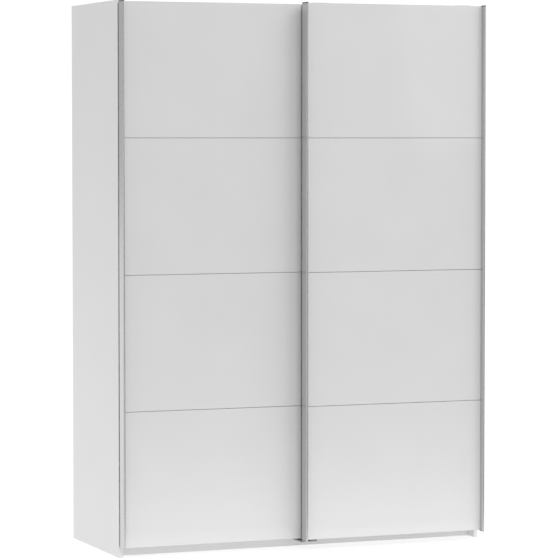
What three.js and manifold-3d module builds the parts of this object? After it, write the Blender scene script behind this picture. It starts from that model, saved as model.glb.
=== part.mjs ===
// A two-door wardrobe whose glass-faced doors hang from a track and slide past each other.
// Millimetres, +Z up, the front faces -Y. The origin is the centre of the footprint, on the floor.
import * as THREE from 'three';
import { mergeVertices } from 'three/addons/utils/BufferGeometryUtils.js';
import Module from 'manifold-3d';

// Overall size
const WIDTH = 1500; // over the side panels
const DEPTH = 665; // rear edges of the side panels to the noses of the front door's handles
const HEIGHT = 2100; // of the side panels, the front door's caps and its hangers' arms
const FIT = 0.3; // gap between two pieces that meet

// Carcass
const BOARD = 16; // chipboard of every carcass panel
const PLINTH_HEIGHT = 60;
const PLINTH_SETBACK = 50;
const REAR_PLINTH_SETBACK = 35;
const BACK_THICKNESS = 3;
const BACK_INSET = 10; // from the rear edges to the back panels
const GROOVE_DEPTH = 6; // of the side panels' grooves for the back panels
const BACK_SEAM = 2; // between the two back panels, behind the partition

// Inside
const SHELF_BELOW_TOP = 300; // clear space over each hat shelf
const SHELF_SETBACK = 28;
const SHELF_PLAY = 0.5;
const RAIL_WIDTH = 15;
const RAIL_HEIGHT = 30;
const RAIL_WALL = 1.2;
const RAIL_BELOW_SHELF = 60; // shelf underside to the rail's centre
const HOLDER_WALL = 2.4;
const HOLDER_LENGTH = 14;
const HOLDER_RIM = 6; // the flange stands this far out round the cradle

// Doors
const DOOR_INSET = 2; // a closed door's edge stands this far inside the side panel's face
const DOOR_OVERLAP = 20; // of the two closed doors
const DOOR_AJAR = 16; // the front door rests this far short of closed
const DOOR_BOTTOM = 39;
const DOOR_BOARD = 16;
const GLASS = 4;
const PANES = 4;
const PANE_JOINT = 1.5;
const DOOR_GAP = 8; // carcass front to the rear door's back
const PASSING_GAP = 2; // rear door's handle noses to the front door's back
const PULL_ROOM = 58; // an open door still covers this much less than its own width

// Handle strips: a hollow bar in front of the glass, on a leg that wraps the door's edge
const HANDLE_WIDTH = 8;
const HANDLE_PROUD = 25;
const HANDLE_WALL = 1.4;
const HANDLE_LEG = 2;
const NOSE_RADIUS = 2.6;
const CAP_HEIGHT = 3.7;
const CAP_PEG = 12;
const CAP_BELOW = 4; // the bottom caps reach this far under the glass
const CAP_ABOVE = 2; // the top caps reach this far over the glass

// Running gear
const TRACK_ROOM = 54; // overall height to the top panel's upper face
const TRACK_BASE = 2.2;
const TRACK_MARGIN = 9; // base plate beyond each rib
const RIB_WIDTH = 2.6;
const RIB_HEIGHT = 16;
const RIB_BEHIND_DOOR = 19; // rear door's back to its rib
const RIB_SPACING = 40;
const WHEEL_RADIUS = 16;
const WHEEL_GROOVE = 3;
const WHEEL_WIDTH = 10;
const AXLE_RADIUS = 3.5;
const AXLE_HEAD_RADIUS = 6;
const AXLE_HEAD = 2;
const HANGER_SPREAD = 300; // from the door's middle to each hanger
const HANGER_WIDTH = 60;
const HANGER_STEEL = 2;
const HANGER_LEG = 90; // down the door's back
const ARM_CLEARANCE = 1.5; // rear door's caps to the arms that pass over them
const FLANGE_BELOW_AXLE = 12;
const FLANGE_TO_WHEEL = 7;
const STOP_LENGTH = 38;
const STOP_WIDTH = 14;
const STOP_PLAY = 0.5; // left between a stop and its wheel at the end of the travel

// Bottom guide
const GROOVE_WIDTH = 5;
const GUIDE_GROOVE_DEPTH = 14;
const FIN_THICKNESS = 3;
const FIN_LENGTH = 27;
const FIN_ENTRY = 10; // how far a fin stands up into its groove
const GUIDE_PLATE = 2.5;
const GUIDE_CLEARANCE = 2.5; // handle caps to the guide's plate
const GUIDE_BLOCK = 30;
const GUIDE_BLOCK_INSET = 6; // behind the bottom panel's front edge

// Wall brackets
const BRACKET_WIDTH = 40;
const BRACKET_LEG = 60;
const BRACKET_RISE = 44;
const BRACKET_STEEL = 2;
const BRACKET_HOLE = 3;
const BRACKET_FROM_SIDE = 150;

// Heights that follow
const topUpper = HEIGHT - TRACK_ROOM;
const topLower = topUpper - BOARD;
const bottomLower = PLINTH_HEIGHT;
const bottomUpper = bottomLower + BOARD;
const shelfUpper = topLower - SHELF_BELOW_TOP;
const shelfLower = shelfUpper - BOARD;
const railZ = shelfLower - RAIL_BELOW_SHELF;
const frontDoorTop = HEIGHT - CAP_ABOVE;
const rearDoorTop = HEIGHT - HANGER_STEEL - ARM_CLEARANCE - CAP_ABOVE;
const panePitch = (frontDoorTop - DOOR_BOTTOM + PANE_JOINT) / PANES; // the joints of both doors line up
const trackTop = topUpper + FIT + TRACK_BASE;
const ribTop = topUpper + RIB_HEIGHT;
const wheelZ = ribTop + FIT + WHEEL_RADIUS - WHEEL_GROOVE;

// Places along X that follow
const sideFace = WIDTH / 2 - BOARD;
const doorWidth = WIDTH / 2 - DOOR_INSET + DOOR_OVERLAP / 2;
const travel = doorWidth - PULL_ROOM;
const rearDoorX = -(WIDTH / 2 - DOOR_INSET - doorWidth / 2);
const frontDoorX = -rearDoorX - DOOR_AJAR;

// Places along Y that follow
const glassFront = DOOR_BOARD + FIT + GLASS;
const doorDepth = glassFront + HANDLE_PROUD;
const frontDoorBack = -DEPTH / 2 + doorDepth;
const rearDoorBack = frontDoorBack + PASSING_GAP + doorDepth;
const carcassFront = rearDoorBack + DOOR_GAP;
const carcassBack = DEPTH / 2;
const backRear = carcassBack - BACK_INSET;
const backFront = backRear - BACK_THICKNESS;
const panelRear = backFront - FIT;
const rearRibY = rearDoorBack + RIB_BEHIND_DOOR;
const frontRibY = rearRibY + RIB_SPACING;

const FINISHES = {
  board: { color: 0xededec, roughness: 0.55, metalness: 0 },
  hardboard: { color: 0xe6e4df, roughness: 0.7, metalness: 0 },
  glass: { color: 0xeeefef, roughness: 0.06, metalness: 0 },
  aluminium: { color: 0xb4b7ba, roughness: 0.32, metalness: 1 },
  darkPlastic: { color: 0x4a423d, roughness: 0.6, metalness: 0 },
  steel: { color: 0xa8a9a6, roughness: 0.38, metalness: 1 },
  chrome: { color: 0xd2d4d6, roughness: 0.12, metalness: 1 },
  nylon: { color: 0xd9d8d2, roughness: 0.5, metalness: 0 },
  greyPlastic: { color: 0x8d8f90, roughness: 0.55, metalness: 0 },
};

const wasm = await Module();
wasm.setup();

// ---- Geometry helpers

// Stands a section drawn in the YZ plane upright and runs its extrusion along X.
const alongX = new THREE.Matrix4().makeBasis(
  new THREE.Vector3(0, 1, 0), new THREE.Vector3(0, 0, 1), new THREE.Vector3(1, 0, 0));

function extrude(shape, depth, basis) {
  const geometry = new THREE.ExtrudeGeometry(shape, { depth, bevelEnabled: false, curveSegments: 6 });
  geometry.translate(0, 0, -depth / 2);
  if (basis) {
    geometry.applyMatrix4(basis);
  }
  return geometry;
}

function polygon(points) {
  return new THREE.Shape(points.map(([x, y]) => new THREE.Vector2(x, y)));
}

// An upright oval with half-round ends.
function oval(width, height) {
  const radius = width / 2;
  const straight = height / 2 - radius;
  const shape = new THREE.Shape();
  shape.absarc(0, straight, radius, 0, Math.PI, false);
  shape.absarc(0, -straight, radius, Math.PI, 2 * Math.PI, false);
  return shape;
}

// A box between two corners, as geometry in place.
function block([x0, x1], [y0, y1], [z0, z1]) {
  const geometry = new THREE.BoxGeometry(x1 - x0, y1 - y0, z1 - z0);
  return geometry.translate((x0 + x1) / 2, (y0 + y1) / 2, (z0 + z1) / 2);
}

// A cylinder along Y with its middle at the given point.
function pinAlongY(radius, length, x, y, z) {
  return new THREE.CylinderGeometry(radius, radius, length, 24).translate(x, y, z);
}

function toSolid(geometry) {
  const bare = geometry.clone();
  bare.deleteAttribute('normal');
  bare.deleteAttribute('uv');
  const merged = mergeVertices(bare, 1e-4);
  return new wasm.Manifold(new wasm.Mesh({
    numProp: 3,
    vertProperties: new Float32Array(merged.attributes.position.array),
    triVerts: new Uint32Array(merged.index.array),
  }));
}

function toGeometry(solid) {
  const mesh = solid.getMesh();
  const geometry = new THREE.BufferGeometry();
  geometry.setAttribute('position', new THREE.BufferAttribute(mesh.vertProperties, 3));
  geometry.setIndex(new THREE.BufferAttribute(mesh.triVerts, 1));
  geometry.computeVertexNormals();
  return geometry;
}

function join(first, ...others) {
  return toGeometry(others.reduce((sum, geometry) => sum.add(toSolid(geometry)), toSolid(first)));
}

function cut(body, ...tools) {
  return toGeometry(tools.reduce((rest, geometry) => rest.subtract(toSolid(geometry)), toSolid(body)));
}

function piece(name, finish, geometry, x = 0, y = 0, z = 0) {
  const mesh = new THREE.Mesh(geometry, new THREE.MeshStandardMaterial(FINISHES[finish]));
  mesh.name = name;
  mesh.position.set(x, y, z);
  return mesh;
}

// A plain panel between two corners, drawn about its own middle.
function panel(name, finish, [x0, x1], [y0, y1], [z0, z1]) {
  const geometry = new THREE.BoxGeometry(x1 - x0, y1 - y0, z1 - z0);
  return piece(name, finish, geometry, (x0 + x1) / 2, (y0 + y1) / 2, (z0 + z1) / 2);
}

const sides = [['left', -1], ['right', 1]];

// ---- Carcass

// A side panel with the groove that holds a back panel's edge, side is -1 or 1.
function sidePanel(label, side) {
  const outer = side * WIDTH / 2;
  const inner = side * sideFace;
  const grooveFloor = inner + side * GROOVE_DEPTH;
  const outline = polygon([
    [outer, carcassFront],
    [outer, carcassBack],
    [inner, carcassBack],
    [inner, backRear + FIT],
    [grooveFloor, backRear + FIT],
    [grooveFloor, backFront - FIT],
    [inner, backFront - FIT],
    [inner, carcassFront],
  ]);
  return piece(`side_panel_${label}`, 'board', extrude(outline, HEIGHT), 0, 0, HEIGHT / 2);
}

function backPanel(label, side) {
  const edge = sideFace + GROOVE_DEPTH - FIT;
  const across = side < 0 ? [-edge, -BACK_SEAM / 2] : [BACK_SEAM / 2, edge];
  return panel(`back_panel_${label}`, 'hardboard', across, [backFront, backRear], [0, topUpper]);
}

function makeCarcass() {
  const carcass = new THREE.Group();
  const across = [-sideFace + FIT, sideFace - FIT];
  for (const [label, side] of sides) {
    carcass.add(sidePanel(label, side));
    carcass.add(backPanel(label, side));
  }
  const plinthFront = carcassFront + PLINTH_SETBACK;
  const plinthRear = carcassBack - REAR_PLINTH_SETBACK;
  const upright = [0, bottomLower - FIT];
  carcass.add(
    panel('top_panel', 'board', across, [carcassFront, panelRear], [topLower, topUpper]),
    panel('bottom_panel', 'board', across, [carcassFront, panelRear], [bottomLower, bottomUpper]),
    panel('plinth_front', 'board', across, [plinthFront, plinthFront + BOARD], upright),
    panel('plinth_rear', 'board', across, [plinthRear - BOARD, plinthRear], upright),
    panel('centre_partition', 'board', [-BOARD / 2, BOARD / 2], [carcassFront, panelRear],
      [bottomUpper + FIT, topLower - FIT]),
  );
  return carcass;
}

// ---- Inside fittings

// An open-topped cradle on a flange, the flange against the panel and the cradle towards +X or -X.
function railHolder(towards) {
  const bore = oval(RAIL_WIDTH + 2 * FIT, RAIL_HEIGHT + 2 * FIT);
  const cradleWidth = RAIL_WIDTH + 2 * FIT + 2 * HOLDER_WALL;
  const cradleHeight = RAIL_HEIGHT + 2 * FIT + 2 * HOLDER_WALL;
  const ring = oval(cradleWidth, cradleHeight);
  ring.holes.push(bore);
  const cradle = extrude(ring, HOLDER_LENGTH, alongX);
  const mouth = block([-HOLDER_LENGTH, HOLDER_LENGTH], [-cradleWidth, cradleWidth], [0, cradleHeight]);
  const flange = extrude(oval(cradleWidth + 2 * HOLDER_RIM, cradleHeight + 2 * HOLDER_RIM),
    HOLDER_WALL, alongX);
  flange.translate(-towards * (HOLDER_LENGTH + HOLDER_WALL) / 2, 0, 0);
  return join(cut(cradle, mouth), flange);
}

function hangingRail(length) {
  const section = oval(RAIL_WIDTH, RAIL_HEIGHT);
  section.holes.push(oval(RAIL_WIDTH - 2 * RAIL_WALL, RAIL_HEIGHT - 2 * RAIL_WALL));
  return extrude(section, length, alongX);
}

function makeInside() {
  const inside = new THREE.Group();
  const railY = (carcassFront + panelRear) / 2;
  for (const [label, side] of sides) {
    const near = side * BOARD / 2;
    const far = side * sideFace;
    const middle = (near + far) / 2;
    const clear = Math.abs(far - near);
    const halfShelf = clear / 2 - SHELF_PLAY;
    inside.add(panel(`shelf_${label}`, 'board', [middle - halfShelf, middle + halfShelf],
      [carcassFront + SHELF_SETBACK, panelRear], [shelfLower, shelfUpper]));
    const railLength = clear - 2 * (HOLDER_WALL + 2 * FIT);
    inside.add(piece(`hanging_rail_${label}`, 'chrome', hangingRail(railLength), middle, railY, railZ));
    for (const [end, towards] of [['left', 1], ['right', -1]]) {
      const x = middle - towards * (clear / 2 - FIT - HOLDER_WALL - HOLDER_LENGTH / 2);
      inside.add(piece(`rail_holder_${label}_${end}`, 'chrome', railHolder(towards), x, railY, railZ));
    }
  }
  return inside;
}

// ---- Top track and its stops

function trackSection() {
  const low = topUpper + FIT;
  const shape = new THREE.Shape();
  shape.moveTo(rearRibY - TRACK_MARGIN, low);
  shape.lineTo(frontRibY + TRACK_MARGIN, low);
  shape.lineTo(frontRibY + TRACK_MARGIN, trackTop);
  for (const y of [frontRibY, rearRibY]) {
    shape.lineTo(y + RIB_WIDTH / 2, trackTop);
    shape.absarc(y, ribTop - RIB_WIDTH / 2, RIB_WIDTH / 2, 0, Math.PI, false);
    shape.lineTo(y - RIB_WIDTH / 2, trackTop);
  }
  shape.lineTo(rearRibY - TRACK_MARGIN, trackTop);
  return shape;
}

// A saddle that straddles a rib, in the way of a wheel.
function trackStop() {
  const low = trackTop + FIT;
  const slot = RIB_WIDTH / 2 + FIT;
  const section = polygon([
    [-STOP_WIDTH / 2, low],
    [-slot, low],
    [-slot, ribTop + FIT],
    [slot, ribTop + FIT],
    [slot, low],
    [STOP_WIDTH / 2, low],
    [STOP_WIDTH / 2, wheelZ],
    [-STOP_WIDTH / 2, wheelZ],
  ]);
  return extrude(section, STOP_LENGTH, alongX);
}

function makeTrack() {
  const track = new THREE.Group();
  track.add(piece('top_track', 'aluminium', extrude(trackSection(), 2 * (sideFace - FIT), alongX)));
  const reach = HANGER_SPREAD + WHEEL_RADIUS + STOP_PLAY + STOP_LENGTH / 2;
  const lanes = [
    ['rear', rearRibY, rearDoorX, rearDoorX + travel],
    ['front', frontRibY, -rearDoorX - travel, -rearDoorX],
  ];
  for (const [lane, ribY, lowest, highest] of lanes) {
    track.add(
      piece(`track_stop_${lane}_left`, 'greyPlastic', trackStop(), lowest - reach, ribY),
      piece(`track_stop_${lane}_right`, 'greyPlastic', trackStop(), highest + reach, ribY),
    );
  }
  return track;
}

// ---- Bottom guide and wall brackets

// Each fin stands in the middle of the stretch that its door covers all along its travel.
function bottomGuide() {
  const plateTop = DOOR_BOTTOM - CAP_BELOW - GUIDE_CLEARANCE;
  const plateLow = plateTop - GUIDE_PLATE;
  const finTop = DOOR_BOTTOM + FIN_ENTRY;
  const blockFront = carcassFront + GUIDE_BLOCK_INSET;
  const blockRear = blockFront + GUIDE_BLOCK;
  const rearFinY = rearDoorBack - DOOR_BOARD / 2;
  const frontFinY = frontDoorBack - DOOR_BOARD / 2;
  const finX = (PULL_ROOM - DOOR_OVERLAP) / 2;
  const across = [-finX - FIN_LENGTH / 2, finX + FIN_LENGTH / 2];
  const fin = (x, y) => block([x - FIN_LENGTH / 2, x + FIN_LENGTH / 2],
    [y - FIN_THICKNESS / 2, y + FIN_THICKNESS / 2], [plateLow, finTop]);
  return join(
    block(across, [blockFront, blockRear], [plateLow, bottomLower - FIT]),
    block(across, [frontFinY - FIN_THICKNESS, blockRear], [plateLow, plateTop]),
    fin(-finX, rearFinY),
    fin(finX, frontFinY),
  );
}

// An angle on the top panel, its upright face in the plane of the wall.
function wallBracket() {
  const low = topUpper + FIT;
  const angle = polygon([
    [carcassBack - BRACKET_LEG, low],
    [carcassBack, low],
    [carcassBack, low + BRACKET_RISE],
    [carcassBack - BRACKET_STEEL, low + BRACKET_RISE],
    [carcassBack - BRACKET_STEEL, low + BRACKET_STEEL],
    [carcassBack - BRACKET_LEG, low + BRACKET_STEEL],
  ]);
  const wallHole = pinAlongY(BRACKET_HOLE, 4 * BRACKET_STEEL, 0, carcassBack, low + BRACKET_RISE / 2);
  const panelHole = new THREE.CylinderGeometry(BRACKET_HOLE, BRACKET_HOLE, 4 * BRACKET_STEEL, 24);
  panelHole.rotateX(Math.PI / 2).translate(0, carcassBack - BRACKET_LEG / 2, low);
  return cut(extrude(angle, BRACKET_WIDTH, alongX), wallHole, panelHole);
}

function makeFittings() {
  const fittings = new THREE.Group();
  fittings.add(piece('bottom_guide', 'greyPlastic', bottomGuide()));
  for (const [label, side] of sides) {
    const x = side * (sideFace - BRACKET_FROM_SIDE);
    fittings.add(piece(`wall_bracket_${label}`, 'steel', wallBracket(), x));
  }
  return fittings;
}

// ---- Doors. Each is drawn with its back on Y = 0, its front towards -Y and its middle on X = 0.

// The board's lower edge is grooved for the guide, and recesses let the hangers into its back flush.
function doorBoard(doorTop) {
  const half = doorWidth / 2 - HANDLE_LEG - FIT;
  const board = block([-half, half], [-DOOR_BOARD, 0], [DOOR_BOTTOM, doorTop]);
  const middle = -DOOR_BOARD / 2;
  const groove = block([-doorWidth, doorWidth], [middle - GROOVE_WIDTH / 2, middle + GROOVE_WIDTH / 2],
    [0, DOOR_BOTTOM + GUIDE_GROOVE_DEPTH]);
  const reach = HANGER_WIDTH / 2 + FIT;
  const recesses = sides.map(([, side]) => block(
    [side * HANGER_SPREAD - reach, side * HANGER_SPREAD + reach],
    [-HANGER_STEEL - FIT, DOOR_BOARD], [doorTop - HANGER_LEG - FIT, HEIGHT]));
  return cut(board, groove, ...recesses);
}

// The strip's outline at the door's left or right edge: side is -1 or 1.
function handleSection(side) {
  const x = (inward) => side * (doorWidth / 2 - inward);
  const nose = glassFront + HANDLE_PROUD;
  const seat = glassFront + FIT;
  const shape = new THREE.Shape();
  shape.moveTo(x(0), 0);
  shape.lineTo(x(HANDLE_LEG), 0);
  shape.lineTo(x(HANDLE_LEG), -seat);
  shape.lineTo(x(HANDLE_WIDTH), -seat);
  shape.lineTo(x(HANDLE_WIDTH), -nose + NOSE_RADIUS);
  shape.quadraticCurveTo(x(HANDLE_WIDTH), -nose, x(HANDLE_WIDTH - NOSE_RADIUS), -nose);
  shape.lineTo(x(NOSE_RADIUS), -nose);
  shape.quadraticCurveTo(x(0), -nose, x(0), -nose + NOSE_RADIUS);
  return shape;
}

// The rectangle inside the bar, smaller all round by the given clearance, drawn anticlockwise.
function handleHollow(side, clearance) {
  const inset = HANDLE_WALL + clearance;
  const middle = side * (doorWidth - HANDLE_WIDTH) / 2;
  const half = HANDLE_WIDTH / 2 - inset;
  const near = -glassFront - FIT - inset;
  const far = -glassFront - HANDLE_PROUD + inset;
  return polygon([[middle - half, far], [middle + half, far], [middle + half, near], [middle - half, near]]);
}

function handleStrip(side, low, high) {
  const section = handleSection(side);
  section.holes.push(handleHollow(side, 0));
  return extrude(section, high - low).translate(0, 0, (low + high) / 2);
}

// A cap over the strip's end, with a peg inside the bar. towards is 1 at the top, -1 at the bottom.
function handleCap(side, stripEnd, towards) {
  const plate = extrude(handleSection(side), CAP_HEIGHT);
  plate.translate(0, 0, stripEnd + towards * (FIT + CAP_HEIGHT / 2));
  const peg = extrude(handleHollow(side, FIT), CAP_PEG);
  peg.translate(0, 0, stripEnd + towards * (FIT + CAP_HEIGHT / 2 - CAP_PEG / 2));
  return join(plate, peg);
}

// A flat plate let into the door's back, for the rib close behind the door.
function plateHanger(doorTop) {
  const plate = block([-HANGER_WIDTH / 2, HANGER_WIDTH / 2], [-HANGER_STEEL, 0],
    [doorTop - HANGER_LEG, doorTop - ARM_CLEARANCE]);
  return cut(plate, pinAlongY(AXLE_RADIUS + FIT, 8 * HANGER_STEEL, 0, 0, wheelZ));
}

// A bent strip let into the door's back: up, over the other door, and down in front of the wheel.
function archedHanger(doorTop, wheelY) {
  const flangeY = wheelY - WHEEL_WIDTH / 2 - FLANGE_TO_WHEEL;
  const bent = polygon([
    [-HANGER_STEEL, doorTop - HANGER_LEG],
    [0, doorTop - HANGER_LEG],
    [0, HEIGHT - HANGER_STEEL],
    [flangeY - HANGER_STEEL, HEIGHT - HANGER_STEEL],
    [flangeY - HANGER_STEEL, wheelZ - FLANGE_BELOW_AXLE],
    [flangeY, wheelZ - FLANGE_BELOW_AXLE],
    [flangeY, HEIGHT],
    [-HANGER_STEEL, HEIGHT],
  ]);
  const hole = pinAlongY(AXLE_RADIUS + FIT, 8 * HANGER_STEEL, 0, flangeY, wheelZ);
  return cut(extrude(bent, HANGER_WIDTH, alongX), hole);
}

// A stepped pin from the hanger's hole through the wheel, with a head behind the wheel.
function axle(from, to) {
  const profile = [
    [0, from],
    [AXLE_RADIUS, from],
    [AXLE_RADIUS, to],
    [AXLE_HEAD_RADIUS, to],
    [AXLE_HEAD_RADIUS, to + AXLE_HEAD],
    [0, to + AXLE_HEAD],
  ];
  return new THREE.LatheGeometry(profile.map(([r, y]) => new THREE.Vector2(r, y)), 24);
}

// A roller with a groove that rides on the rib.
function wheel() {
  const bore = AXLE_RADIUS + FIT;
  const half = WHEEL_WIDTH / 2;
  const grooveHalf = RIB_WIDTH / 2 + FIT;
  const shoulder = grooveHalf + 1;
  const floor = WHEEL_RADIUS - WHEEL_GROOVE;
  const profile = [
    [bore, -half],
    [WHEEL_RADIUS, -half],
    [WHEEL_RADIUS, -shoulder],
    [floor, -grooveHalf],
    [floor, grooveHalf],
    [WHEEL_RADIUS, shoulder],
    [WHEEL_RADIUS, half],
    [bore, half],
    [bore, -half],
  ];
  return new THREE.LatheGeometry(profile.map(([r, y]) => new THREE.Vector2(r, y)), 48);
}

function makeDoor(label, arched, doorTop) {
  const door = new THREE.Group();
  const named = (part) => `door_${label}_${part}`;
  door.add(piece(named('board'), 'board', doorBoard(doorTop)));

  const halfGlass = doorWidth / 2 - HANDLE_LEG - FIT;
  for (let i = 0; i < PANES; i += 1) {
    const low = DOOR_BOTTOM + i * panePitch;
    const high = Math.min(low + panePitch - PANE_JOINT, doorTop);
    door.add(panel(named(`glass_${i + 1}`), 'glass', [-halfGlass, halfGlass],
      [-glassFront, -DOOR_BOARD - FIT], [low, high]));
  }

  const stripLow = DOOR_BOTTOM - CAP_BELOW + CAP_HEIGHT + FIT;
  const stripHigh = doorTop + CAP_ABOVE - CAP_HEIGHT - FIT;
  for (const [end, side] of sides) {
    door.add(
      piece(named(`handle_${end}`), 'aluminium', handleStrip(side, stripLow, stripHigh)),
      piece(named(`cap_${end}_bottom`), 'aluminium', handleCap(side, stripLow, -1)),
      piece(named(`cap_${end}_top`), 'darkPlastic', handleCap(side, stripHigh, 1)),
    );
  }

  const wheelY = arched ? frontRibY - frontDoorBack : rearRibY - rearDoorBack;
  const plateY = arched ? wheelY - WHEEL_WIDTH / 2 - FLANGE_TO_WHEEL : 0;
  const axleTo = wheelY + WHEEL_WIDTH / 2 + FIT;
  const hanger = () => (arched ? archedHanger(doorTop, wheelY) : plateHanger(doorTop));
  for (const [end, side] of sides) {
    const x = side * HANGER_SPREAD;
    door.add(
      piece(named(`hanger_${end}`), 'steel', hanger(), x),
      piece(named(`axle_${end}`), 'steel', axle(plateY - HANGER_STEEL, axleTo), x, 0, wheelZ),
      piece(named(`wheel_${end}`), 'nylon', wheel(), x, wheelY, wheelZ),
    );
  }
  return door;
}

const wardrobe = new THREE.Group();
const rearDoor = makeDoor('left', false, rearDoorTop);
rearDoor.position.set(rearDoorX, rearDoorBack, 0);
const frontDoor = makeDoor('right', true, frontDoorTop);
frontDoor.position.set(frontDoorX, frontDoorBack, 0);
wardrobe.add(makeCarcass(), makeInside(), makeTrack(), makeFittings(), rearDoor, frontDoor);

export default wardrobe;
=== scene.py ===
import math
from random import Random

import bmesh
import bpy
from mathutils import Matrix, Vector


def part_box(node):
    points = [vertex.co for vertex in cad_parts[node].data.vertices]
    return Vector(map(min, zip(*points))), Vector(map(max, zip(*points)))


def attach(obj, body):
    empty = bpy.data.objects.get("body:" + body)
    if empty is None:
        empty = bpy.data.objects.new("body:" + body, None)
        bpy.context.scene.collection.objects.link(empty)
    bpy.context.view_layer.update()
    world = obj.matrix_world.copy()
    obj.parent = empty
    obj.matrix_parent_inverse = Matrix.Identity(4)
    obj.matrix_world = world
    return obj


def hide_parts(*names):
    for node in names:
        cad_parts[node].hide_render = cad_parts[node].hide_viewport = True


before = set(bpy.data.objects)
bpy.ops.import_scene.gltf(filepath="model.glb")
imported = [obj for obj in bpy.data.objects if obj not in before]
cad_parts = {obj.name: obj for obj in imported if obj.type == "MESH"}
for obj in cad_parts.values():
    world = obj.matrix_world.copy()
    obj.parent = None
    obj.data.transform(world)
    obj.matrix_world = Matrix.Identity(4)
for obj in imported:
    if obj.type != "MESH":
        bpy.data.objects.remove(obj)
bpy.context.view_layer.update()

MM = 0.001
X, Y, Z = Vector((1, 0, 0)), Vector((0, 1, 0)), Vector((0, 0, 1))

# Each side's name and its direction along X
SIDES = (("left", -1), ("right", 1))

# A face's normal along an axis from which the face counts as square to it
SQUARE_ON = 0.95

# The rows of shelf holes in the side panels and the partition
HOLE_PITCH = 32 * MM
HOLE_RADIUS = 2.5 * MM
HOLES_FROM, HOLES_TO = 0.352, 1.984
HOLE_ROW_INSET = 37 * MM

# A dust brush's two parts, in mm: width, near and far face behind the strip; and cuts in height
BRUSH_CARRIER = (5.4, 0.05, 1.6, 1)
BRUSH_PILE = (3.6, 1.6, 7.4, 380)
# From the strip's outer edge to both parts, in mm
BRUSH_INSET = 0.3


# ---- Node graphs


class Value:
    """An output of a node. Arithmetic on it adds Math nodes."""

    def __init__(self, graph, output):
        self.graph = graph
        self.output = output

    def math(self, operation, *others, flip=False, clamp=False):
        operands = [self, *others]
        if flip:
            operands.reverse()
        settings = {"operation": operation, "use_clamp": clamp}
        return self.graph.node("ShaderNodeMath", settings, dict(enumerate(operands)))

    def __add__(self, other):
        return self.math("ADD", other)

    __radd__ = __add__

    def __sub__(self, other):
        return self.math("SUBTRACT", other)

    def __rsub__(self, other):
        return self.math("SUBTRACT", other, flip=True)

    def __mul__(self, other):
        return self.math("MULTIPLY", other)

    __rmul__ = __mul__

    def __truediv__(self, other):
        return self.math("DIVIDE", other)

    def __rtruediv__(self, other):
        return self.math("DIVIDE", other, flip=True)

    def __abs__(self):
        return self.math("ABSOLUTE")

    def ramp(self, low, high):
        """0 below low, 1 above high, and straight between them."""
        return ((self - low) / (high - low)).math("ADD", 0, clamp=True)


class Graph:
    """The nodes of a material or a world, added one call at a time."""

    def __init__(self, owner, coordinates):
        owner.use_nodes = True
        self.owner = owner
        self.nodes = owner.node_tree.nodes
        self.links = owner.node_tree.links
        self.nodes.clear()
        self.place = self.node("ShaderNodeTexCoord", output=coordinates)

    def node(self, kind, settings=None, inputs=None, output=0):
        """Adds a node, sets its settings, then its sockets to values or links.

        Returns one of its outputs, or nothing if it has none.
        """
        made = self.nodes.new(kind)
        for name, value in (settings or {}).items():
            setattr(made, name, value)
        for name, value in (inputs or {}).items():
            if isinstance(value, Value):
                self.links.new(value.output, made.inputs[name])
            else:
                made.inputs[name].default_value = value
        return Value(self, made.outputs[output]) if made.outputs else None

    def axes(self):
        """The place's three coordinates."""
        return [self.node("ShaderNodeSeparateXYZ", None, {0: self.place}, i) for i in range(3)]

    def noise(self, scale, detail=2, roughness=0.5, stretch=(1, 1, 1)):
        """Noise from 0 to 1 with scale cycles to the metre.

        A small stretch draws it out along that axis.
        """
        vector = self.place
        if stretch != (1, 1, 1):
            vector = self.node("ShaderNodeMapping", None, {"Vector": vector, "Scale": stretch})
        inputs = {"Vector": vector, "Scale": scale, "Detail": detail, "Roughness": roughness}
        return self.node("ShaderNodeTexNoise", None, inputs)

    def cells(self, scale, output="Distance"):
        """Cells with scale of them to the metre: the distance to a cell's point, or its colour."""
        inputs = {"Vector": self.place, "Scale": scale}
        return self.node("ShaderNodeTexVoronoi", None, inputs, output)

    def blend(self, amount, low, high, mode="MIX"):
        """A colour between low and high."""
        settings = {"data_type": "RGBA", "blend_type": mode}
        first, second = [c if isinstance(c, Value) else (*c, 1) for c in (low, high)]
        return self.node("ShaderNodeMix", settings, {0: amount, 6: first, 7: second}, 2)

    def bump(self, height, distance, strength):
        """A normal tilted by a height, whose full range is distance metres."""
        inputs = {"Height": height, "Distance": distance, "Strength": strength}
        return self.node("ShaderNodeBump", None, inputs)

    def surface(self, **sockets):
        """Ends a material in one Principled shader and returns the material."""
        inputs = {name.replace("_", " "): value for name, value in sockets.items()}
        shader = self.node("ShaderNodeBsdfPrincipled", None, inputs)
        self.node("ShaderNodeOutputMaterial", None, {"Surface": shader})
        return self.owner


def new_material(name):
    """The empty graph of a new material that reads Object coordinates."""
    return Graph(bpy.data.materials.new(name), "Object")


# ---- Finishes


def melamine_tone(g):
    """White foil with a slight cloudiness and a pearl grain, and the grain's height."""
    pearl = g.noise(1500, 3, 0.6)
    cloud = g.noise(2.5, 3).ramp(0.3, 0.7)
    tone = g.blend(cloud, (0.775, 0.772, 0.774), (0.795, 0.792, 0.794))
    return g.blend(pearl.ramp(0.25, 0.75) * 0.35, tone, (0.82, 0.815, 0.818)), pearl


def melamine():
    """White melamine foil."""
    g = new_material("white_melamine")
    tone, pearl = melamine_tone(g)
    return g.surface(
        Base_Color=tone,
        Roughness=0.36 + g.noise(90, 2) * 0.12,
        Normal=g.bump(pearl, 0.00004, 0.35),
    )


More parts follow.
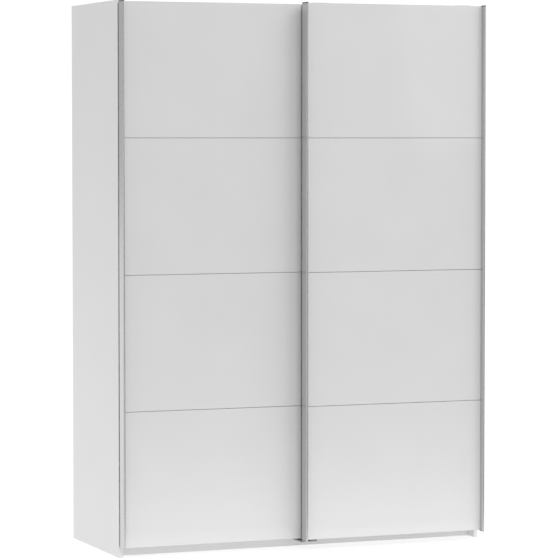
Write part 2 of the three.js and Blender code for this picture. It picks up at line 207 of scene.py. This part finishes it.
def drilled_melamine(front, rear):
    """The same foil with a row of shelf holes along each upright edge of the panel, each hole a
    near-black disc of painted shade with a bumped rim.
    """
    g = new_material("drilled_melamine")
    tone, pearl = melamine_tone(g)
    _, y, z = g.axes()
    up = ((z / HOLE_PITCH).math("FRACT") - 0.5) * HOLE_PITCH
    from_front = abs(y - (front + HOLE_ROW_INSET))
    across = from_front.math("MINIMUM", abs(y - (rear - HOLE_ROW_INSET)))
    distance = (up * up + across * across).math("SQRT")
    drilled = z.math("GREATER_THAN", HOLES_FROM) * z.math("LESS_THAN", HOLES_TO)
    # Painted shade: the inside of each shelf hole is filled with near-black colour instead of being
    # cut
    painted_hole_shade = (1 - distance.ramp(0.94 * HOLE_RADIUS, 1.04 * HOLE_RADIUS)) * drilled
    rim = (1 - distance.ramp(HOLE_RADIUS, 1.5 * HOLE_RADIUS)) * drilled
    return g.surface(
        Base_Color=g.blend(painted_hole_shade, tone, (0.035, 0.028, 0.022)),
        Roughness=0.36 + g.noise(90, 2) * 0.12 + painted_hole_shade * 0.4,
        Normal=g.bump(pearl * 0.02 + rim, 0.0004, 0.4),
    )


def edging():
    """The band on the boards' narrow faces: smoother than the foil, with a faint orange peel."""
    g = new_material("white_edging")
    peel = g.noise(520, 3, 0.55)
    return g.surface(
        Base_Color=g.blend(peel.ramp(0.3, 0.7), (0.785, 0.782, 0.784), (0.81, 0.807, 0.809)),
        Roughness=0.28 + peel * 0.1,
        Normal=g.bump(peel, 0.00003, 0.3),
    )


def hardboard():
    """White-primed hardboard with its pressed fibres showing."""
    g = new_material("white_hardboard")
    fibres = g.noise(420, 5, 0.65, (1, 1, 0.25))
    specks = g.cells(260).ramp(0.02, 0.12)
    tone = g.blend(fibres.ramp(0.3, 0.7), (0.66, 0.65, 0.625), (0.74, 0.735, 0.715))
    return g.surface(
        Base_Color=g.blend(specks, (0.56, 0.54, 0.5), tone),
        Roughness=0.55 + fibres * 0.2,
        Normal=g.bump(fibres, 0.00012, 0.5),
    )


def painted_glass():
    """Polished float glass painted white on its back, with a faint roll and a little haze."""
    g = new_material("white_painted_glass")
    roll = g.noise(1.6, 1, 0.4, (0.5, 1, 1.6))
    paint = g.noise(5, 2).ramp(0.3, 0.7)
    haze = g.noise(14, 4, 0.6).ramp(0.45, 0.8)
    return g.surface(
        Base_Color=g.blend(paint, (0.752, 0.75, 0.752), (0.768, 0.766, 0.768)),
        Roughness=0.025 + haze * 0.035,
        IOR=1.52,
        Normal=g.bump(roll, 0.002, 0.2),
    )


def glass_rim():
    """The ground rim of a pane, where the glass shows its green."""
    g = new_material("ground_glass_rim")
    grind = g.noise(2500, 2, 0.6)
    return g.surface(
        Base_Color=g.blend(g.noise(30, 2), (0.44, 0.54, 0.5), (0.54, 0.63, 0.59)),
        Roughness=0.22 + grind * 0.2,
        IOR=1.52,
        Normal=g.bump(grind, 0.00002, 0.4),
    )


def drawn_aluminium(name, stretch, dark, light, roughness):
    """Aluminium with drawing lines that run along one axis."""
    g = new_material(name)
    lines = g.noise(2600, 3, 0.6, stretch)
    bands = g.noise(240, 2, 0.5, stretch).ramp(0.3, 0.7)
    tone = g.blend(bands, dark, light)
    return g.surface(
        Base_Color=g.blend(lines.ramp(0.2, 0.8) * 0.25, tone, (0.66, 0.65, 0.655)),
        Metallic=1.0,
        Roughness=roughness + lines * 0.08,
        Normal=g.bump(lines, 0.00003, 0.1),
    )


def zinc_steel():
    """Zinc-plated steel with a soft spangle and rolling lines."""
    g = new_material("zinc_plated_steel")
    spangle = g.cells(420, "Color")
    rolled = g.noise(1800, 2, 0.5, (0.05, 1, 1))
    shade = g.blend(0.5, spangle, (0.5, 0.5, 0.5))
    tone = g.blend(rolled.ramp(0.3, 0.7), (0.52, 0.53, 0.54), (0.62, 0.63, 0.62))
    return g.surface(
        Base_Color=g.blend(0.35, tone, shade, "SOFT_LIGHT"),
        Metallic=1.0,
        Roughness=0.3 + g.noise(260, 3) * 0.2,
        Normal=g.bump(rolled, 0.00003, 0.3),
    )


def chrome():
    """Bright chrome with faint polishing lines along X."""
    g = new_material("bright_chrome")
    lines = g.noise(3000, 2, 0.5, (0.01, 1, 1))
    return g.surface(
        Base_Color=g.blend(g.noise(40, 3), (0.72, 0.73, 0.745), (0.8, 0.805, 0.815)),
        Metallic=1.0,
        Roughness=0.06 + lines * 0.07,
        Normal=g.bump(lines, 0.00001, 0.25),
    )


def moulded(name, dark, light, grain_scale, roughness):
    """Moulded plastic with a spark-eroded grain and soft flow marks."""
    g = new_material(name)
    grain = g.noise(grain_scale, 2, 0.6)
    flow = g.noise(60, 3, 0.6, (0.3, 1, 1)).ramp(0.3, 0.7)
    return g.surface(
        Base_Color=g.blend(flow * 0.6 + grain * 0.4, dark, light),
        Roughness=roughness + grain * 0.15,
        Normal=g.bump(grain, 0.00004, 0.4),
    )


def shade_dark_brush_pile():
    """Dark nylon bristles that run along Y, near-black so that they also darken the gap behind the
    strip as painted shade.
    """
    g = new_material("shade_dark_brush_pile")
    bristles = g.noise(3000, 3, 0.6, (1, 0.03, 1))
    return g.surface(
        Base_Color=g.blend(
            bristles.ramp(0.35, 0.65), (0.012, 0.011, 0.01), (0.06, 0.055, 0.05)
        ),
        Roughness=0.75 + bristles * 0.2,
        Normal=g.bump(bristles, 0.0002, 0.8),
    )


CARCASS_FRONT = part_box("side_panel_left")[0].y
CARCASS_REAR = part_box("centre_partition")[1].y

MELAMINE = melamine()
DRILLED = drilled_melamine(CARCASS_FRONT, CARCASS_REAR)
EDGING = edging()
HARDBOARD = hardboard()
GLASS = painted_glass()
GLASS_RIM = glass_rim()
HANDLE = drawn_aluminium(
    "satin_aluminium", (1, 1, 0.004), (0.58, 0.566, 0.572), (0.61, 0.596, 0.602), 0.2
)
TRACK = drawn_aluminium(
    "track_aluminium", (0.004, 1, 1), (0.5, 0.5, 0.505), (0.6, 0.6, 0.605), 0.3
)
STEEL = zinc_steel()
CHROME = chrome()
DARK = moulded("dark_moulding", (0.055, 0.047, 0.042), (0.085, 0.074, 0.066), 3200, 0.45)
GREY = moulded("grey_moulding", (0.27, 0.275, 0.28), (0.33, 0.335, 0.34), 2800, 0.42)
NYLON = moulded("natural_nylon", (0.62, 0.61, 0.56), (0.7, 0.69, 0.65), 1500, 0.36)
COVER = moulded(
    "white_cover_moulding", (0.72, 0.715, 0.71), (0.77, 0.765, 0.76), 2600, 0.34
)
SHADE_DARK_PILE = shade_dark_brush_pile()


# ---- Mesh helpers


def in_mm(profile):
    """A profile given in millimetres, in metres."""
    return [(radius * MM, height * MM) for radius, height in profile]


def middle(node):
    """The middle of a CAD node's box."""
    low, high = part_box(node)
    return (low + high) / 2


def shape_of(node):
    """A bmesh with a CAD node's shape: its triangles merged and its flat faces made whole."""
    merge_within = 0.002 * MM
    flat = math.radians(1)
    bm = bmesh.new()
    bm.from_mesh(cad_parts[node].data)
    bmesh.ops.remove_doubles(bm, verts=bm.verts, dist=merge_within)
    bmesh.ops.dissolve_limit(bm, angle_limit=flat, verts=bm.verts, edges=bm.edges)
    return bm


def ease(bm, width, segments=2):
    """Rounds every edge that is sharper than 30 degrees."""
    limit = math.radians(30)
    sharp = [e for e in bm.edges if e.is_manifold and e.calc_face_angle(0) > limit]
    bmesh.ops.bevel(
        bm,
        geom=sharp,
        offset=width,
        offset_type="OFFSET",
        segments=segments,
        profile=0.5,
        affect="EDGES",
        clamp_overlap=True,
        material=-1,
    )


def piece(name, bm, body, slot, *materials, stands_for=()):
    """Makes a bmesh a shown piece that moves with a body."""
    mesh = bpy.data.meshes.new(name)
    bm.to_mesh(mesh)
    bm.free()
    mesh.shade_smooth()
    mesh.set_sharp_from_angle(angle=math.radians(50))
    for material in materials:
        mesh.materials.append(material)
    obj = bpy.data.objects.new(name, mesh)
    bpy.context.scene.collection.objects.link(obj)
    obj.modifiers.new("level_faces", "WEIGHTED_NORMAL").keep_sharp = True
    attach(obj, body)
    if stands_for:
        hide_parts(*stands_for)


def eased_copy(node, body, slot, material, width, segments=2):
    """A CAD node's shape with its edges rounded."""
    bm = shape_of(node)
    ease(bm, width, segments)
    piece(f"{node}_eased", bm, body, slot, material, stands_for=[node])


def turned(bm, place, axis, profile, steps=24):
    """Adds a turned shape.

    The profile lists a radius and a height along the axis. A radius may be an outline.
    """
    part = bmesh.new()
    start = [part.verts.new((1, 0, index)) for index in range(len(profile))]
    line = [part.edges.new(pair) for pair in zip(start, start[1:])]
    bmesh.ops.spin(
        part,
        geom=start + line,
        cent=(0, 0, 0),
        axis=Z,
        angle=2 * math.pi,
        steps=steps,
        use_merge=True,
    )
    for vert in part.verts:
        radius, height = profile[round(vert.co.z)]
        angle = math.atan2(vert.co.y, vert.co.x)
        reach = radius(angle) if callable(radius) else radius
        vert.co = (reach * math.cos(angle), reach * math.sin(angle), height)
    bmesh.ops.remove_doubles(part, verts=part.verts, dist=0.001 * MM)
    bmesh.ops.recalc_face_normals(part, faces=part.faces)
    turn = axis.to_track_quat("Z", "Y").to_matrix().to_4x4()
    part.transform(Matrix.Translation(place) @ turn)
    mesh = bpy.data.meshes.new("part")
    part.to_mesh(mesh)
    part.free()
    bm.from_mesh(mesh)
    bpy.data.meshes.remove(mesh)


def hexagon(half_width):
    """The outline of a hexagon, as its radius at an angle."""
    sixth = math.radians(60)
    return lambda angle: half_width / math.cos((angle + sixth / 2) % sixth - sixth / 2)


def cross(reach):
    """The outline of a cross recess, as its radius at an angle."""
    quarter = math.radians(90)
    near_arm = math.radians(9)
    core = 0.45 * reach
    return lambda angle: (
        reach if abs((angle + quarter / 2) % quarter - quarter / 2) < near_arm else core
    )


def screw(bm, place, axis, radius, rise, recess=cross):
    """A pan head on a surface, with a cross or hexagon recess."""
    profile = [
        (0, 0),
        (radius, 0),
        (radius, 0.3 * rise),
        (0.86 * radius, 0.8 * rise),
        (0.66 * radius, rise),
        (recess(0.55 * radius), rise),
        (recess(0.42 * radius), 0.25 * rise),
        (0, 0.25 * rise),
    ]
    turned(bm, place, axis, profile)


def disc(bm, place, axis, radius, thickness, steps=24):
    """A thin disc on a surface with a chamfered rim."""
    chamfer = 0.4 * thickness
    rim = [(radius, 0), (radius, thickness - chamfer), (radius - chamfer, thickness)]
    turned(bm, place, axis, [(0, 0), *rim, (0, thickness)], steps)


# ---- Boards


def board(node, body="carcass", drilled=()):
    """A board: foil on its broad faces and band on its narrow ones.

    The faces that look along X in a drilled direction have shelf holes.
    """
    low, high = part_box(node)
    size = list(high - low)
    thin = size.index(min(size))
    bm = shape_of(node)
    ease(bm, 0.6 * MM, 3)
    for face in bm.faces:
        face.material_index = 0 if abs(face.normal[thin]) > SQUARE_ON else 1
        if any(face.normal.x * way > SQUARE_ON for way in drilled):
            face.material_index = 2
    materials = (MELAMINE, EDGING, DRILLED) if drilled else (MELAMINE, EDGING)
    piece(f"{node}_board", bm, body, "white_board", *materials, stands_for=[node])


def make_boards():
    """The carcass boards, drilled on the faces that look into the wardrobe, and the backs."""
    for label, side in SIDES:
        board(f"side_panel_{label}", drilled=[-side])
        board(f"shelf_{label}")
        eased_copy(f"back_panel_{label}", "carcass", "white_hardboard", HARDBOARD, 0.3 * MM)
    board("centre_partition", drilled=[-1, 1])
    for name in ("top_panel", "bottom_panel", "plinth_front", "plinth_rear"):
        board(name)


def inner_faces(label, side):
    """The X of the panel faces at the left and right of one half of the wardrobe."""
    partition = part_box("centre_partition")
    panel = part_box(f"side_panel_{label}")
    if side < 0:
        return panel[1].x, partition[0].x
    return partition[1].x, panel[0].x


def make_shelf_pins():
    """Four steel pins with collars under each shelf."""
    profile = in_mm(
        [(0, 0), (3.6, 0), (3.6, 0.8), (3.3, 1.1), (2.5, 1.1), (2.5, 7.4), (2.1, 8), (0, 8)]
    )
    drop = 3.7 * MM
    for label, side in SIDES:
        low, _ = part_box(f"shelf_{label}")
        bm = bmesh.new()
        for x, axis in zip(inner_faces(label, side), (X, -X)):
            for y in (CARCASS_FRONT + HOLE_ROW_INSET, CARCASS_REAR - HOLE_ROW_INSET):
                turned(bm, Vector((x, y, low.z - drop)), axis, profile)
        piece(f"shelf_pins_{label}", bm, "carcass", "zinc_steel", STEEL)


def make_cam_covers():
    """Moulded covers over the cam fittings of the top and bottom panels."""
    profile = in_mm(
        [(0, 0), (8.5, 0), (8.5, 0.4), (8.1, 0.8), (2.2, 0.8), (1.8, 0.6), (0, 0.6)]
    )
    inset = 34 * MM
    bm = bmesh.new()
    for name, corner, axis in (("top_panel", 0, -Z), ("bottom_panel", 1, Z)):
        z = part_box(name)[corner].z
        for label, side in SIDES:
            left, right = inner_faces(label, side)
            for x in (left + inset, right - inset):
                for y in (CARCASS_FRONT + 2 * inset, CARCASS_REAR - 2 * inset):
                    turned(bm, Vector((x, y, z)), axis, profile)
    piece("cam_covers", bm, "carcass", "white_board", COVER)


def make_back_nails():
    """Small nails that hold the back panels to the panels in front of them."""
    low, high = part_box("back_panel_left")
    rows = [middle(name).z for name in ("bottom_panel", "shelf_left", "top_panel")]
    last = abs(low.x) - 30 * MM
    count = 12
    places = [(-last + i * 2 * last / (count - 1), z) for z in rows for i in range(count)]
    spacing = 120 * MM
    beside_seam = 5 * MM
    heights = [rows[0] + (i + 1) * spacing for i in range(count)]
    places += [(x, z) for z in heights for x in (-beside_seam, beside_seam)]
    bm = bmesh.new()
    for x, z in places:
        disc(bm, Vector((x, high.y, z)), Y, 2.2 * MM, 0.5 * MM, 10)
    piece("back_nails", bm, "carcass", "zinc_steel", STEEL)


# ---- Doors


def pane(node, body):
    """A glass pane with a ground arris round its face."""
    bm = shape_of(node)
    ease(bm, 0.7 * MM, 2)
    for face in bm.faces:
        face.material_index = 0 if face.normal.y < -SQUARE_ON else 1
    piece(f"{node}_pane", bm, body, "white_glass", GLASS, GLASS_RIM, stands_for=[node])


def dust_brush(door, edge, side):
    """Bristles in a carrier behind a handle strip, sealing the gap behind the door; their
    near-black pile also stands in for the shade in that gap.
    """
    low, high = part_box(f"door_{door}_handle_{edge}")
    outer = low.x if side < 0 else high.x
    rise = (low.z + high.z) / 2
    length = high.z - low.z - 12 * MM
    bm = bmesh.new()
    for width, near, far, cuts in (BRUSH_CARRIER, BRUSH_PILE):
        size = Vector((width * MM, (far - near) * MM, length))
        inward = (BRUSH_INSET + width / 2) * MM
        place = Vector((outer - side * inward, high.y + (near + far) / 2 * MM, rise))
        box = bmesh.ops.create_cube(bm, size=1)["verts"]
        bmesh.ops.scale(bm, vec=size, verts=box)
        bmesh.ops.translate(bm, vec=place, verts=box)
        uprights = [e for e in bm.edges if e.calc_length() > 0.9 * length and e.verts[0] in box]
        bmesh.ops.subdivide_edges(bm, edges=uprights, cuts=cuts, use_grid_fill=True)
    random = Random(f"{door} {edge}")
    tips_from = high.y + 7 * MM
    for vert in bm.verts:
        if vert.co.y > tips_from:
            vert.co.x += random.uniform(-0.3, 0.3) * MM
            vert.co.y -= random.uniform(0, 0.8) * MM
    pile_from = high.y + 1.65 * MM
    for face in bm.faces:
        face.material_index = 1 if face.calc_center_median().y > pile_from else 0
    # The pile's near-black colour is partly painted shade for the gap behind the handle strip
    piece(f"door_{door}_brush_{edge}", bm, f"door_{door}", "dark_plastic", DARK, SHADE_DARK_PILE)


def wheel(door, edge):
    """The grooved roller, with a bearing's shield and moulding pips on each face."""
    body = f"door_{door}_wheel_{edge}"
    eased_copy(body, body, "nylon", NYLON, 0.5 * MM)
    low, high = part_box(body)
    centre = middle(body)
    outer_rim = [(6.7, 0), (9.8, 0), (9.8, 0.1), (9.6, 0.25), (8.9, 0.25), (8.7, 0.12)]
    inner_rim = [(7.8, 0.12), (7.6, 0.25), (6.9, 0.25), (6.7, 0.1), (6.7, 0)]
    shield = in_mm(outer_rim + inner_rim)
    pip_count, pip_circle = 6, 12.6 * MM
    pips = bmesh.new()
    rings = bmesh.new()
    for y, axis in ((low.y, -Y), (high.y, Y)):
        face = Vector((centre.x, y, centre.z))
        turned(rings, face, axis, shield, 32)
        for index in range(pip_count):
            angle = 2 * math.pi * index / pip_count
            around = pip_circle * (math.cos(angle) * X + math.sin(angle) * Z)
            disc(pips, face + around, axis, 1.1 * MM, 0.3 * MM, 12)
    piece(f"{body}_shields", rings, body, "zinc_steel", STEEL)
    piece(f"{body}_pips", pips, body, "nylon", NYLON)


def axle(door, edge):
    """A turned pin with a chamfered head and a hexagon socket."""
    node = f"door_{door}_axle_{edge}"
    low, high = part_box(node)
    centre = middle(node)
    length = high.y - low.y
    pin, head = 3.5 * MM, 6 * MM
    under_head = length - 2 * MM
    socket_floor = length - 1.4 * MM
    profile = [
        (0, 0),
        (pin - 0.4 * MM, 0),
        (pin, 0.4 * MM),
        (pin, under_head),
        (head - 0.3 * MM, under_head),
        (head, under_head + 0.3 * MM),
        (head, length - 0.4 * MM),
        (head - 0.4 * MM, length),
        (hexagon(2.5 * MM), length),
        (hexagon(2.4 * MM), socket_floor),
        (0, socket_floor),
    ]
    bm = bmesh.new()
    turned(bm, Vector((centre.x, low.y, centre.z)), Y, profile)
    piece(f"{node}_pin", bm, f"door_{door}", "zinc_steel", STEEL, stands_for=[node])


def hanger(door, edge):
    """The hanger and the four screws that hold it in the door's back."""
    body = f"door_{door}"
    node = f"{body}_hanger_{edge}"
    eased_copy(node, body, "zinc_steel", STEEL, 0.3 * MM)
    low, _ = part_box(node)
    centre = middle(node)
    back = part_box(f"{body}_board")[1].y
    bm = bmesh.new()
    for across in (-20 * MM, 20 * MM):
        for rise in (11 * MM, 33 * MM):
            place = Vector((centre.x + across, back, low.z + rise))
            screw(bm, place, Y, 4 * MM, 0.9 * MM)
    piece(f"{node}_screws", bm, body, "zinc_steel", STEEL)


def make_doors():
    """Each door's board, panes, handle strips with caps and brushes, and running gear."""
    for door, _ in SIDES:
        body = f"door_{door}"
        board(f"{body}_board", body)
        for number in range(1, 5):
            pane(f"{body}_glass_{number}", body)
        for edge, side in SIDES:
            eased_copy(f"{body}_handle_{edge}", body, "aluminium", HANDLE, 0.3 * MM)
            eased_copy(f"{body}_cap_{edge}_bottom", body, "aluminium", HANDLE, 0.4 * MM)
            eased_copy(f"{body}_cap_{edge}_top", body, "dark_plastic", DARK, 0.4 * MM)
            dust_brush(door, edge, side)
            hanger(door, edge)
            axle(door, edge)
            wheel(door, edge)


# ---- Fittings


def make_track():
    """The top track with its screws, and the stops with their grub screws."""
    eased_copy("top_track", "carcass", "aluminium", TRACK, 0.25 * MM)
    low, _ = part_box("top_track")
    base = low.z + 2.2 * MM
    last, count = 0.66, 8
    screws = bmesh.new()
    for index in range(count):
        x = -last + index * 2 * last / (count - 1)
        screw(screws, Vector((x, middle("top_track").y, base)), Z, 4.2 * MM, 1.2 * MM)
    for lane in ("rear", "front"):
        for end, _ in SIDES:
            node = f"track_stop_{lane}_{end}"
            eased_copy(node, "carcass", "grey_plastic", GREY, 0.8 * MM, 3)
            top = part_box(node)[1].z
            for along in (-9 * MM, 9 * MM):
                place = Vector((middle(node).x + along, middle(node).y, top))
                screw(screws, place, Z, 3 * MM, 1 * MM, hexagon)
    piece("track_screws", screws, "carcass", "zinc_steel", STEEL)


def make_rails():
    """The oval hanging rails and their screwed-on holders."""
    plate = 2.4 * MM
    screw_rise = 20.7 * MM
    screws = bmesh.new()
    for label, _ in SIDES:
        eased_copy(f"hanging_rail_{label}", "carcass", "chrome", CHROME, 0.2 * MM)
        for end, side in SIDES:
            node = f"rail_holder_{label}_{end}"
            eased_copy(node, "carcass", "chrome", CHROME, 0.4 * MM)
            low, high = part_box(node)
            face = low.x + plate if side < 0 else high.x - plate
            for rise in (-screw_rise, screw_rise):
                z = middle(f"hanging_rail_{label}").z + rise
                screw(screws, Vector((face, middle(node).y, z)), -side * X, 2.5 * MM, 1 * MM)
    piece("rail_holder_screws", screws, "carcass", "zinc_steel", STEEL)


def make_guide_and_brackets():
    """The bottom guide and the wall brackets, with their screws."""
    eased_copy("bottom_guide", "carcass", "grey_plastic", GREY, 0.4 * MM)
    low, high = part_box("bottom_guide")
    screws = bmesh.new()
    for x in (-15 * MM, 15 * MM):
        screw(screws, Vector((x, high.y - 15 * MM, low.z)), -Z, 4 * MM, 1.4 * MM)
    for label, _ in SIDES:
        node = f"wall_bracket_{label}"
        eased_copy(node, "carcass", "zinc_steel", STEEL, 0.4 * MM)
        low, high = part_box(node)
        washer = 1.2 * MM
        seat = Vector((middle(node).x, high.y - 30 * MM, low.z + 2 * MM))
        disc(screws, seat, Z, 7.5 * MM, washer)
        screw(screws, seat + washer * Z, Z, 5 * MM, 2.6 * MM)
    piece("fitting_screws", screws, "carcass", "zinc_steel", STEEL)


make_boards()
make_shelf_pins()
make_cam_covers()
make_back_nails()
make_doors()
make_track()
make_rails()
make_guide_and_brackets()


# ---- Studio

CAMERA_PLACE = Vector((-4.074, -10.1415, 1.5845))
CAMERA_TURN = math.radians(21.857)
CAMERA_TILT = math.radians(2.908)
CAMERA_LENS = 179.48

FLOOR_HALF = Vector((30, 20, 1))
FLOOR_MIDDLE = Vector((0, 19.2, -0.5 * MM))

# The world's light: from the front, more of it from behind, high up, and less at the zenith
FRONT_LIGHT = 0.57
EXTRA_BEHIND = 0.15
HIGH_LIGHT = 1.8
LESS_AT_ZENITH = 1.1
SEEN_WHITE = 1.05

SOFTBOX_SIZE = 4
SOFTBOX_DISTANCE = 7
SOFTBOX_AIM = 1.05 * Z


def make_floor():
    """A white light table that runs from just in front of the wardrobe to far behind it."""
    g = new_material("studio_floor")
    g.surface(
        Base_Color=(0.22, 0.22, 0.22, 1),
        Roughness=0.9,
        Emission_Color=(1, 1, 1, 1),
        Emission_Strength=0.8,
    )
    bm = bmesh.new()
    bmesh.ops.create_grid(bm, x_segments=1, y_segments=1, size=1)
    bmesh.ops.scale(bm, vec=FLOOR_HALF, verts=bm.verts)
    bmesh.ops.translate(bm, vec=FLOOR_MIDDLE, verts=bm.verts)
    mesh = bpy.data.meshes.new("studio_floor")
    bm.to_mesh(mesh)
    bm.free()
    mesh.materials.append(g.owner)
    floor = bpy.data.objects.new("studio_floor", mesh)
    bpy.context.scene.collection.objects.link(floor)


def make_world():
    """White to the camera. Its light is strong high up, softer behind and dimmer in front."""
    world = bpy.data.worlds.new("studio")
    bpy.context.scene.world = world
    g = Graph(world, "Generated")
    _, back, up = g.axes()
    around = FRONT_LIGHT + EXTRA_BEHIND * back.ramp(-0.3, 0.5)
    high = up.ramp(0.3, 0.7)
    zenith = up.ramp(0.7, 1)
    strength = around + high * (HIGH_LIGHT - around) - LESS_AT_ZENITH * zenith
    lighting = g.node("ShaderNodeBackground", None, {"Strength": strength})
    white = {"Color": (1, 1, 1, 1), "Strength": SEEN_WHITE}
    seen = g.node("ShaderNodeBackground", None, white)
    to_camera = g.node("ShaderNodeLightPath", output="Is Camera Ray")
    shader = g.node("ShaderNodeMixShader", None, {0: to_camera, 1: lighting, 2: seen})
    g.node("ShaderNodeOutputWorld", None, {"Surface": shader})


def softbox(name, turn, rise, power):
    """A softbox that faces the wardrobe, turned from the front toward +X and raised, in degrees."""
    light = bpy.data.lights.new(name, "AREA")
    light.size = SOFTBOX_SIZE
    light.energy = power
    lamp = bpy.data.objects.new(name, light)
    turned_by, raised = math.radians(turn), math.radians(rise)
    level = math.sin(turned_by) * X - math.cos(turned_by) * Y
    away = math.cos(raised) * level + math.sin(raised) * Z
    lamp.location = SOFTBOX_AIM + SOFTBOX_DISTANCE * away
    lamp.rotation_euler = away.to_track_quat("Z", "Y").to_euler()
    bpy.context.scene.collection.objects.link(lamp)


def make_camera():
    """A long lens from the front left, above the wardrobe's middle."""
    camera = bpy.data.cameras.new("camera")
    camera.lens = CAMERA_LENS
    camera.sensor_width = 36
    camera.clip_end = 200
    holder = bpy.data.objects.new("camera", camera)
    holder.location = CAMERA_PLACE
    holder.rotation_euler = (math.pi / 2 - CAMERA_TILT, 0, -CAMERA_TURN)
    bpy.context.scene.collection.objects.link(holder)
    bpy.context.scene.camera = holder


make_floor()
make_world()
softbox("front_light", 42, 20, 26)
softbox("high_light", 34, 42, 70)
softbox("low_light", -12, -6, 60)
softbox("side_light", 74, 18, 35)
make_camera()
bpy.context.scene.view_settings.view_transform = "Standard"
